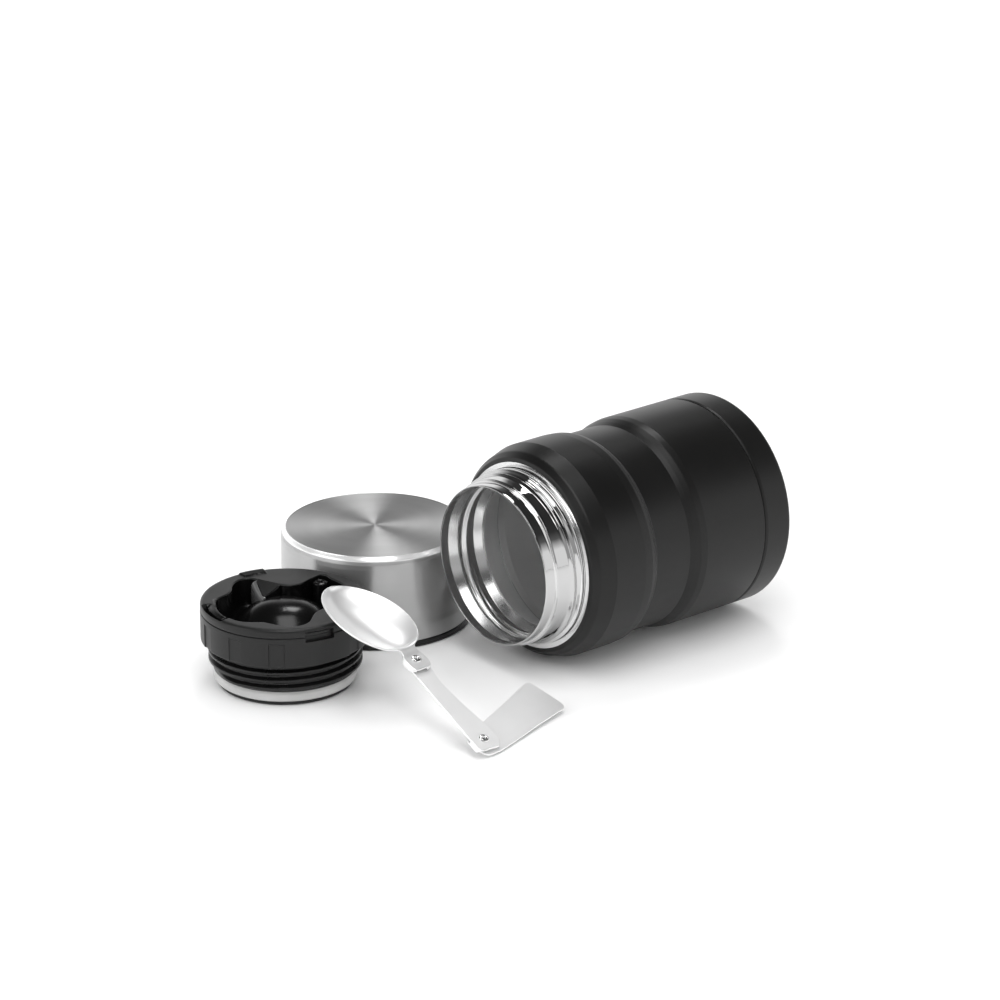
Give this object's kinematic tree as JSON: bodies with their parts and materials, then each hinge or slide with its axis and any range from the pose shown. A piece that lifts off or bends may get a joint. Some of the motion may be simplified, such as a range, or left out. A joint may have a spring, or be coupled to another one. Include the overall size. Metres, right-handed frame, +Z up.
{
  "type": "insulated food jar",
  "caption": "Wide-mouth vacuum food jar lying on its side, with its steel cup, screw stopper and folding spoon laid out beside it.",
  "frame": {"origin": "middle of the layout's box, on the surface it stands on", "axes": "+X along the jar's axis towards its base, +Z up, so the mouth faces -X"},
  "size_m": [0.246, 0.1966, 0.096],
  "materials": {
    "black_coating": "matte powder coat",
    "steel_hidden": "plain sheet",
    "vessel_steel": "polished neck, satin inside",
    "foil_copper": "bright foil",
    "cup_steel": "radially brushed",
    "black_pp": "fine satin moulding",
    "gloss_pp": "glossy moulding",
    "foam": "closed-cell foam",
    "silicone": "soft translucent silicone",
    "spoon_steel": "satin stainless steel",
    "rivet_steel": "polished"
  },
  "bodies": {
    "jar": {"outer_shell": "black_coating", "base_cup": "black_coating", "shell_bottom": "steel_hidden", "vacuum_seal_plug": "steel_hidden", "inner_vessel": "vessel_steel", "copper_foil": "foil_copper", "getter": "steel_hidden"},
    "cup": {"cup_shell": "cup_steel", "cup_liner": "black_pp"},
    "stopper": {"stopper_body": "black_pp", "stopper_grip_ring": "black_pp", "stopper_tray": "gloss_pp", "stopper_insulation": "foam", "stopper_gasket": "silicone", "stopper_base_plate": "gloss_pp"},
    "spoon": {"spoon_bowl": "spoon_steel", "bowl_rivet": "rivet_steel", "bowl_washer": "rivet_steel"},
    "arm": {"spoon_arm": "spoon_steel", "handle_rivet": "rivet_steel", "handle_washer": "rivet_steel"},
    "handle": {"spoon_handle": "spoon_steel"}
  },
  "joints": [
    {"name": "cup_lift", "type": "slide", "parent": "jar", "child": "cup", "axis": [0, 0.1191, 0.9929], "range_m": [0, 0.1]},
    {"name": "stopper_lift", "type": "slide", "parent": "jar", "child": "stopper", "axis": [0, 0, 1], "range_m": [0, 0.1]},
    {"name": "spoon_lift", "type": "slide", "parent": "stopper", "child": "spoon", "axis": [0, 0, 1], "range_m": [0, 0.08]},
    {"name": "arm_fold", "type": "hinge", "parent": "spoon", "child": "arm", "pos_m": [-0.0719, -0.04846, 0.0281], "axis": [0.0883, -0.3933, 0.9152], "range_deg": [-120, 8.1]},
    {"name": "handle_fold", "type": "hinge", "parent": "arm", "child": "handle", "pos_m": [-0.07194, -0.09275, 0.00656], "axis": [0.0883, -0.3933, 0.9152], "range_deg": [-108.9, 71]}
  ]
}
